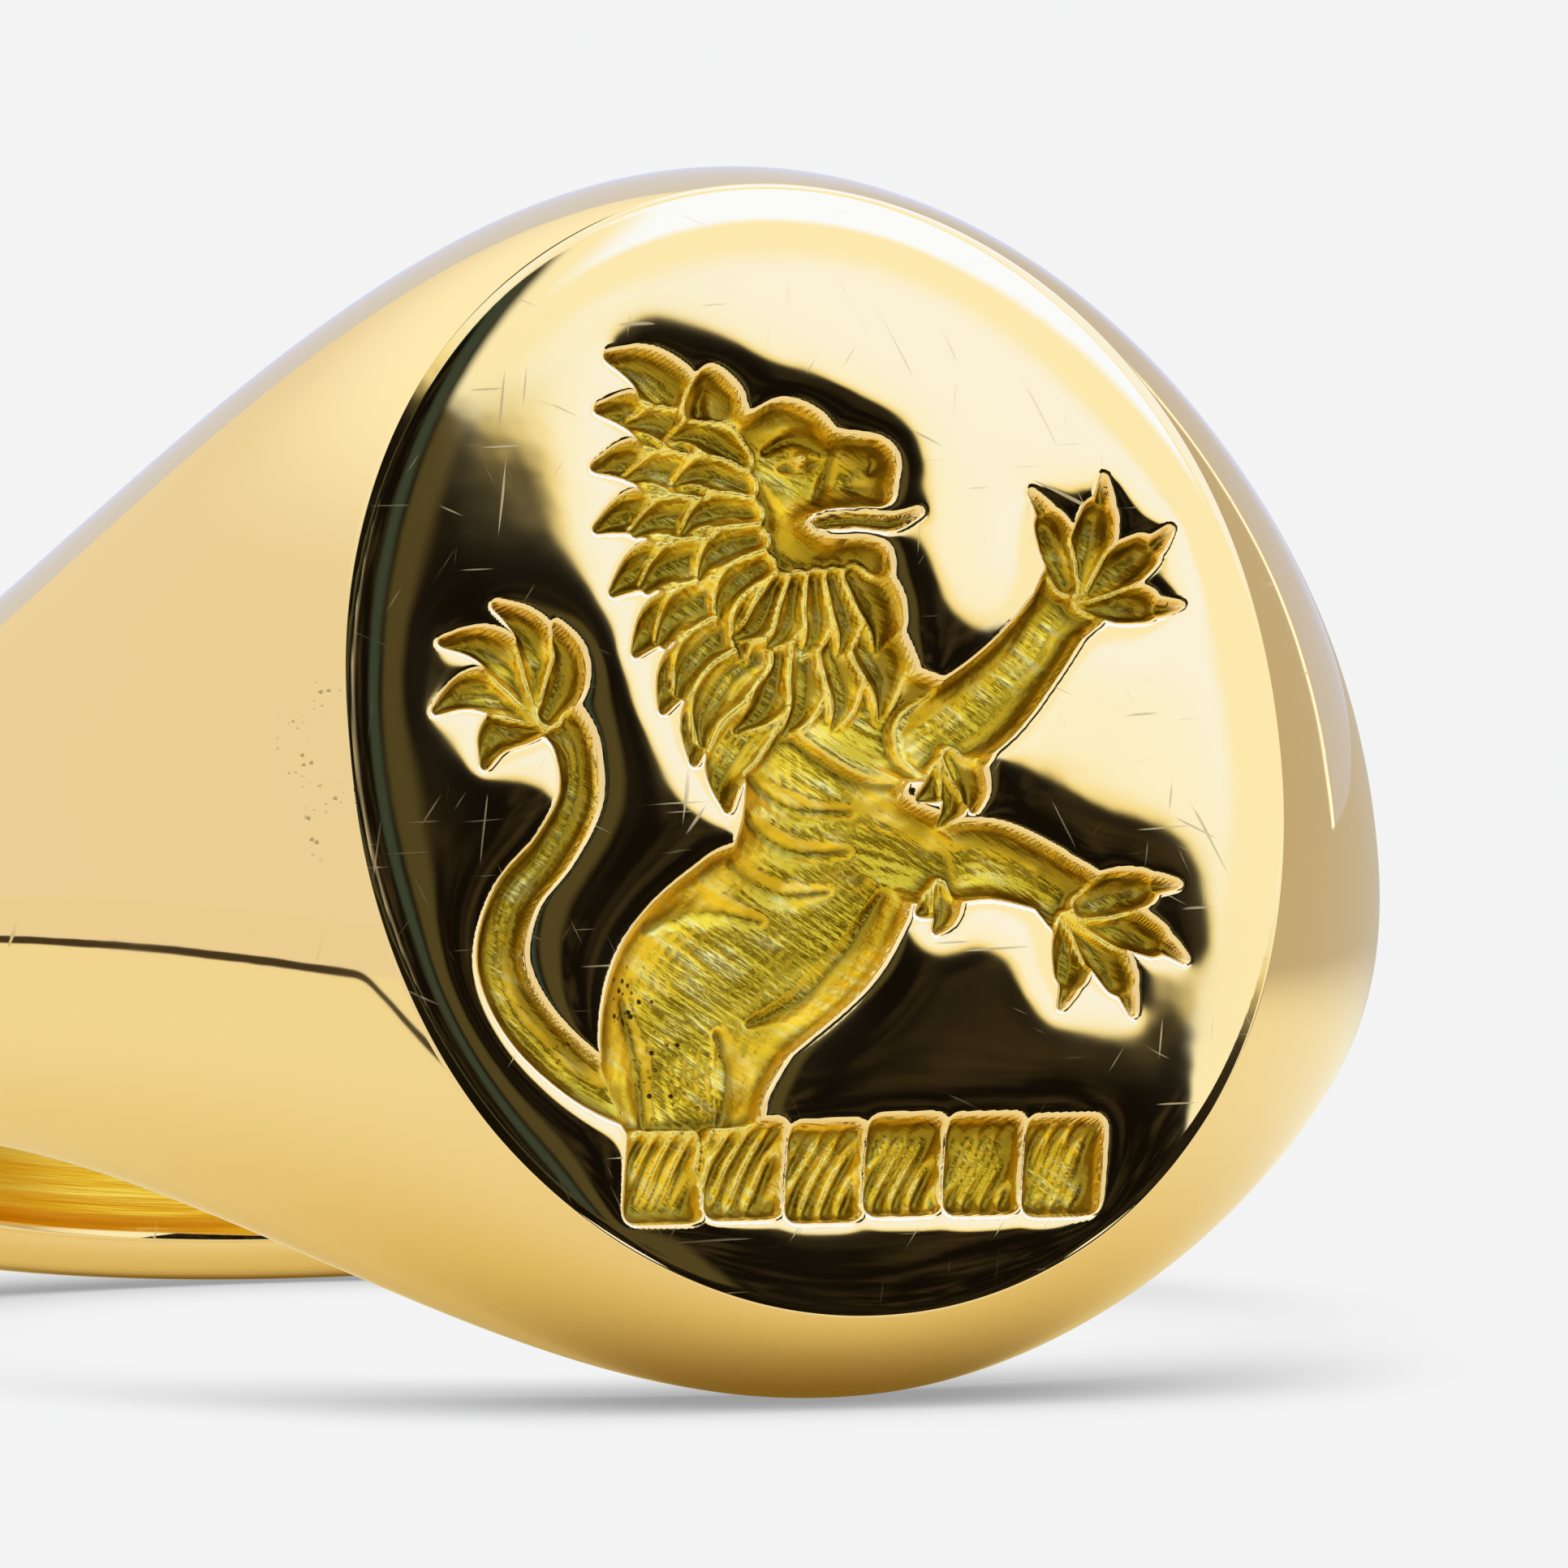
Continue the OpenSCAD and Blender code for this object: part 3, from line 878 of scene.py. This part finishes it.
def cut_look(n, tone, finish, normal):
    """Adds the satin floors of the cuts, with their painted highlights and painted shade."""
    cut = n.attribute("cut")
    groove = n.attribute("groove")
    strokes = n.noise(n.moved(STROKES_TURN, STROKES_SCALE), 1.0, 3.0)
    grain = n.noise(n.place, GRAIN_SCALE, 3.0)
    patches = n.noise(n.moved(PATCHES_TURN, PATCHES_SCALE), 1.0, 2.0)
    # painted highlight: paler gold along the graver's strokes
    cut_tone = n.mix(n.ramp(strokes, *HIGHLIGHT_STROKES), CUT_GOLD, CUT_PAINTED_HIGHLIGHT)
    # painted shade: darker gold in patches
    cut_tone = n.mix(n.ramp(patches, *SHADED_PATCHES), cut_tone, CUT_PAINTED_SHADE)
    # painted shade deep in the grooves, and a painted highlight on the ridges between them
    cut_tone = n.mix(n.product(n.ramp(groove, *SHADED_GROOVES), 0.85), cut_tone, CUT_GROOVE_SHADE)
    cut_tone = n.mix(n.product(n.ramp(groove, *LIT_RIDGES), 0.55), cut_tone, CUT_PAINTED_HIGHLIGHT)
    tone = n.mix(cut, tone, cut_tone)
    finish = n.mix(cut, finish, n.mix(patches, *CUT_ROUGHNESS))
    height = n.math("ADD", n.product(strokes, 1 - GRAIN_SHARE), n.product(grain, GRAIN_SHARE))
    return tone, finish, n.bump(n.product(height, cut), CUT_RELIEF, normal)


def pit_look(n, tone, normal):
    """Adds the casting pits, darkened with painted shade."""
    pits = n.ramp(n.cells(n.place, PIT_SCALE), *PIT_SIZE)
    pits = n.product(pits, n.ramp(n.noise(n.place, PITTED_SCALE, 1.0), *PITTED))
    haunch = n.product(n.near(HAUNCH_PITS, HAUNCH_REACH), n.attribute("cut"))
    shoulder = n.near(SHOULDER_PITS[0], SHOULDER_REACH)
    for spot in SHOULDER_PITS[1:]:
        shoulder = n.math("MAXIMUM", shoulder, n.near(spot, SHOULDER_REACH))
    pits = n.product(pits, n.math("MAXIMUM", haunch, n.product(shoulder, 0.5)))
    return n.mix(pits, tone, PIT_PAINTED_SHADE), n.bump(n.product(pits, -1.0), PIT_DEPTH, normal)


def bore_look(n, tone, finish, normal):
    """Adds the dull finish of the hole, and the deep orange painted into it for the light the gold
    bounces round inside it.
    """
    bore = n.attribute("bore")
    marks = n.noise(n.moved((-math.degrees(TILT), 0, 0), BORE_SCALE), 1.0, 3.0)
    tone = n.mix(bore, tone, n.mix(n.ramp(marks, *PALE_MARKS), BORE_BOUNCE_DARK, BORE_BOUNCE_PALE))
    finish = n.mix(bore, finish, BORE_ROUGHNESS)
    return tone, finish, n.bump(n.product(marks, bore), BORE_RELIEF, normal)


def gold_look(name, colour, roughness, engraved):
    """Hand-polished gold, in places less smooth, with the cuts and the pits where it is engraved."""
    material, tree, shader = new_material(name, "ShaderNodeBsdfPrincipled")
    shader.inputs["Metallic"].default_value = 1.0
    shader.inputs["Base Color"].default_value = (*colour, 1)
    shader.inputs["Roughness"].default_value = roughness
    n = Nodes(tree)
    smudge = n.ramp(n.noise(n.place, SMUDGE_SCALE, 3.0), 0.35, 0.75)
    finish = n.mix(smudge, roughness * 0.7, roughness * 1.6)
    finish = n.mix(scratches(n), finish, SCRATCH_ROUGHNESS)
    darker = tuple(c * (1 - UNEVEN_TONE) for c in colour)
    paler = tuple(min(1, c * (1 + UNEVEN_TONE)) for c in colour)
    tone = n.mix(n.noise(n.place, TONE_SCALE, 2.0), darker, paler)
    normal = n.bump(n.noise(n.place, PEEL_SCALE, 2.0), ORANGE_PEEL)
    if engraved:
        tone, finish, normal = cut_look(n, tone, finish, normal)
        tone, normal = pit_look(n, tone, normal)
    tone, finish, normal = bore_look(n, tone, finish, normal)
    n.join(shader.inputs["Roughness"], finish)
    n.join(shader.inputs["Base Color"], tone)
    n.join(shader.inputs["Normal"], normal)
    return material


solder = gold_look("gold_solder", SOLDER, SOLDER_ROUGHNESS, False)
head.data.materials.append(gold_look("gold_head", GOLD, GOLD_ROUGHNESS, True))
shank.data.materials.append(gold_look("gold_shank", GOLD, GOLD_ROUGHNESS, False))
left_seam.data.materials.append(solder)
right_seam.data.materials.append(solder)


# ---------------------------------------------------------------- floor

# To the camera the floor is an even white sheet with a painted contact shadow close to what stands on
# it. The gold mirrors it warmer, with painted shade brown close under the ring and painted light bounced
# from the gold round it, and mirrors the sheet's dark edge to the left.
WHITE = (0.9, 0.9, 0.905)
PAINTED_CONTACT_SHADOW = (0.34, 0.34, 0.345)
CONTACT_REACH = 0.0038
CONTACT_CLEAR = (0.1, 0.97)
PAINTED_SHADE_BROWN = (0.22, 0.13, 0.02)
PAINTED_BOUNCE_GOLD = (0.78, 0.64, 0.30)
UNDER_REACH = 0.012
BROWN_TO_GOLD = (0.06, 0.60)        # by how open the floor is
GOLD_TO_SHEET = (0.50, 0.97)
SHEET = (0.93, 0.90, 0.74)
PAST_LEFT = (0.88, 0.84, 0.77)
LEFT_FROM = (0.054, 0.058)
PAST_RIGHT = (0.58, 0.52, 0.42)
RIGHT_FROM = (-0.026, -0.060)
EDGE_DARK = (0.06, 0.045, 0.03)
EDGE_TURN = math.radians(14)        # how the sheet's left edge is turned
EDGE_AT = 0.0555
EDGE_HALF = 0.0035
EDGE_SOFT = 0.002
EDGE_STARTS = (0.012, 0.024)        # how far to the left it comes into sight
NEAR_EDGE_TURN = math.radians(15)   # and the edge on the near side, which runs in towards the ring
NEAR_EDGE_AT = 0.0137
NEAR_EDGE_THIN = 16.0               # times thinner than the left edge
EDGE_CORNER = 0.04
FLOOR_CORNERS = ((-12, -8), (12, -8), (0, 16))

floor_z = cad_box[0][2]
floor_mesh = bpy.data.meshes.new("floor")
floor_mesh.from_pydata([(x, y, floor_z) for x, y in FLOOR_CORNERS], [], [(0, 1, 2)])
floor = bpy.data.objects.new("floor", floor_mesh)
bpy.context.collection.objects.link(floor)


def floor_look():
    material, tree, glow = new_material("floor_white_painted_shade", "ShaderNodeEmission")
    n = Nodes(tree)
    # painted contact shadow: the floor the camera sees turns grey where the ring stands close over it
    white = n.mix(n.ramp(n.openness(CONTACT_REACH, 16), *CONTACT_CLEAR), PAINTED_CONTACT_SHADOW, WHITE)
    # what the gold mirrors of the floor: painted shade, brown close under the ring, and painted light
    # bounced from the gold round it, fading to a sheet warmer than the camera sees
    under = n.openness(UNDER_REACH, 12)
    warm = n.mix(n.ramp(under, *BROWN_TO_GOLD), PAINTED_SHADE_BROWN, PAINTED_BOUNCE_GOLD)
    warm = n.mix(n.ramp(under, *GOLD_TO_SHEET), warm, SHEET)
    leftward = n.along((-math.cos(EDGE_TURN), -math.sin(EDGE_TURN), 0))
    warm = n.mix(n.ramp(leftward, *LEFT_FROM), warm, PAST_LEFT)
    warm = n.mix(n.ramp(leftward, *RIGHT_FROM), warm, PAST_RIGHT)
    forward = n.along((math.sin(NEAR_EDGE_TURN), -math.cos(NEAR_EDGE_TURN), 0))
    past_near = n.product(n.math("SUBTRACT", forward, NEAR_EDGE_AT), NEAR_EDGE_THIN)
    past = n.larger(n.math("SUBTRACT", leftward, EDGE_AT), past_near, EDGE_CORNER)
    edge = n.product(n.strip(past, 0.0, EDGE_HALF, EDGE_SOFT), n.ramp(leftward, *EDGE_STARTS))
    warm = n.mix(edge, warm, EDGE_DARK)
    n.join(glow.inputs["Color"], n.mix(n.seen_by_camera(), warm, white))
    return material


floor_mesh.materials.append(floor_look())


# ---------------------------------------------------------------- camera

AZIMUTH = math.radians(-20.3)
ELEVATION = math.radians(2.8)
DISTANCE = 0.2273
LENS = 423.2
AIM = (-0.00042, -0.000465)  # where it aims, to the right and up from the middle of the face

back = Vector((
    math.sin(AZIMUTH) * math.cos(ELEVATION),
    -math.cos(AZIMUTH) * math.cos(ELEVATION),
    math.sin(ELEVATION),
))
right = Vector((math.cos(AZIMUTH), math.sin(AZIMUTH), 0))
up = back.cross(right)
face_centre = Vector(place(np.array([0.0, -FACE_H, 0.0])))
camera_data = bpy.data.cameras.new("camera")
camera_data.sensor_width = 36
camera_data.lens = LENS
camera_data.clip_start = 0.01
camera_data.clip_end = 30
camera = bpy.data.objects.new("camera", camera_data)
camera.location = face_centre + right * AIM[0] + up * AIM[1] + back * DISTANCE
camera.rotation_euler = back.to_track_quat("Z", "Y").to_euler()
bpy.context.collection.objects.link(camera)
scene = bpy.context.scene
scene.camera = camera
scene.view_settings.view_transform = "Standard"


# ---------------------------------------------------------------- studio

# Directions are told by how far they go up, to the camera's right and away from the camera, and those
# that the face mirrors by the tilt of its normal. A pair is where a thing begins and where it is full.
# An even bright tent, with the darker things that polished gold mirrors
TENT_LOW = (0.88, 0.85, 0.81)
TENT_TOP = (1.05, 1.12, 1.2)
TOP_FROM = (0.55, 0.85)
WALL = (0.57, 0.51, 0.41)
WALL_RIGHT = (0.35, 0.5)
WALL_AHEAD = (-0.1, 0.05)
BACKDROP_LEFT = (0.70, 0.77, 1.08)
BACKDROP_RIGHT = (0.62, 0.61, 0.66)
BACKDROP_TURNS = (0.05, 0.3)
BACKDROP_AT = 0.66
BACKDROP_SKEW = 0.4     # to the right it begins further away
BACKDROP_SOFT = 0.015
GAP = (1.3, 1.3, 1.25)
GAP_HALF = 0.006
GAP_RIGHT = (0.2, 0.35)
# The dark room in front of the face, and what stands dimly in it
ROOM_DARK = (0.006, 0.005, 0.004)
ROOM_CLOUD = (0.040, 0.032, 0.018)
ROOM_OLIVE = (0.085, 0.075, 0.035)
ROOM_TEAL = (0.045, 0.07, 0.07)
CLOUDS = (0.45, 0.75)
CLOUD_SCALE = 26.0
OLIVE_STRIP = (-0.06, 0.01, 0.012)      # by tilt to the right: middle, half-width, softness
TEAL_STRIP = (-0.098, 0.006, 0.014)
# The soft light beside the room: its fringe, from there to the upper right, its border, its top
LIGHT_FRINGE = (1.02, 0.94, 0.50)
LIGHT = (1.03, 1.18, 1.5)
LIGHT_UPPER = (1.01, 1.2, 1.85)
LIGHT_BORDER = (1.03, 1.11, 1.16)
LIGHT_TOP = (1.01, 1.32, 2.6)
LIGHT_SLANT = (0.63, 0.77)              # it lies past a line that is slanted to the upper right
LIT = (0.0045, 0.0085)
LIT_RIGHT = (-0.085, -0.065)
FRINGE_ENDS = (0.006, 0.015)
UPPER_FROM = (0.012, 0.035)
BORDER_FROM = (0.044, 0.062)
LIGHT_TOP_OUT = (0.085, 0.10)
LIGHT_TOP_UP = (0.07, 0.095)
LIGHT_TOP_RIGHT = (-0.055, -0.025)
# How much of the studio, round the face's mirror direction, the room and the light take up
FRONT_LEFT = (-0.2, -0.16)
FRONT_AHEAD = (0.45, 0.55)
FRONT_ENDS = (0.4, 0.3)


def tilt_axes():
    """Axes that tell, of a direction near that in which the face mirrors the camera's place, how far the
    face's normal would be tilted to the right and up to mirror it, and how far ahead it lies."""
    normal = Vector((0, -math.cos(TILT), math.sin(TILT)))
    across = Vector((1, 0, 0))
    along = Vector((0, math.sin(TILT), math.cos(TILT)))
    facing = normal.dot(back)
    mirrored = 2 * facing * normal - back
    by_right = 2 * (back.dot(across) * normal + facing * across)
    by_up = 2 * (back.dot(along) * normal + facing * along)
    duals = np.linalg.inv(np.array([mirrored, by_right, by_up]))
    return tuple(duals[:, 1]), tuple(duals[:, 2]), tuple(mirrored)


def tent_look(n):
    """What is all round: the tent, a wall to the right, the backdrop and the bright gap before it."""
    behind = n.along(tuple(-back))
    to_right = n.along(tuple(right))
    look = n.mix(n.ramp(n.along((0, 0, 1)), *TOP_FROM), TENT_LOW, TENT_TOP)
    look = n.mix(n.product(n.ramp(to_right, *WALL_RIGHT), n.ramp(behind, *WALL_AHEAD)), look, WALL)
    far = n.math("SUBTRACT", behind, n.product(n.math("MAXIMUM", to_right, 0.0), BACKDROP_SKEW))
    backdrop = n.mix(n.ramp(to_right, *BACKDROP_TURNS), BACKDROP_LEFT, BACKDROP_RIGHT)
    look = n.mix(n.ramp(far, BACKDROP_AT, BACKDROP_AT + BACKDROP_SOFT), look, backdrop)
    gap = n.product(n.strip(far, BACKDROP_AT - 0.01, GAP_HALF, GAP_HALF), n.ramp(to_right, *GAP_RIGHT))
    return n.mix(gap, look, GAP)


def front_look(n, tilt_right, tilt_up):
    """What the face mirrors: the dark room and the soft light."""
    room = n.mix(n.ramp(n.noise(n.place, CLOUD_SCALE), *CLOUDS), ROOM_DARK, ROOM_CLOUD)
    room = n.mix(n.strip(tilt_right, *OLIVE_STRIP), room, ROOM_OLIVE)
    room = n.mix(n.strip(tilt_right, *TEAL_STRIP), room, ROOM_TEAL)
    slant = n.math("ADD", n.product(tilt_right, LIGHT_SLANT[0]), n.product(tilt_up, LIGHT_SLANT[1]))
    light = n.mix(n.ramp(slant, *FRINGE_ENDS), LIGHT_FRINGE, LIGHT)
    light = n.mix(n.ramp(slant, *UPPER_FROM), light, LIGHT_UPPER)
    outward = n.math("ADD", n.product(tilt_right, tilt_right), n.product(tilt_up, tilt_up))
    outward = n.math("SQRT", outward)
    light = n.mix(n.ramp(outward, *BORDER_FROM), light, LIGHT_BORDER)
    top = n.product(n.ramp(outward, *LIGHT_TOP_OUT), n.ramp(tilt_up, *LIGHT_TOP_UP))
    top = n.product(top, n.ramp(tilt_right, *LIGHT_TOP_RIGHT))
    light = n.mix(top, light, LIGHT_TOP)
    lit = n.product(n.ramp(slant, *LIT), n.ramp(tilt_right, *LIT_RIGHT))
    return n.mix(lit, room, light)


def studio_look(tree):
    tree.nodes.clear()
    n = Nodes(tree, "Generated")
    axis_right, axis_up, axis_ahead = tilt_axes()
    tilt_right, tilt_up = n.along(axis_right), n.along(axis_up)
    front = n.product(n.ramp(tilt_right, *FRONT_LEFT), n.ramp(n.along(axis_ahead), *FRONT_AHEAD),
                      n.ramp(tilt_right, *FRONT_ENDS), n.ramp(tilt_up, *FRONT_ENDS))
    look = n.mix(front, tent_look(n), front_look(n, tilt_right, tilt_up))
    look = n.mix(n.seen_by_camera(), look, WHITE)
    background = tree.nodes.new("ShaderNodeBackground")
    n.join(background.inputs["Color"], look)
    out = tree.nodes.new("ShaderNodeOutputWorld")
    n.join(out.inputs["Surface"], background.outputs[0])


world = bpy.data.worlds.new("studio")
world.use_nodes = True
studio_look(world.node_tree)
scene.world = world
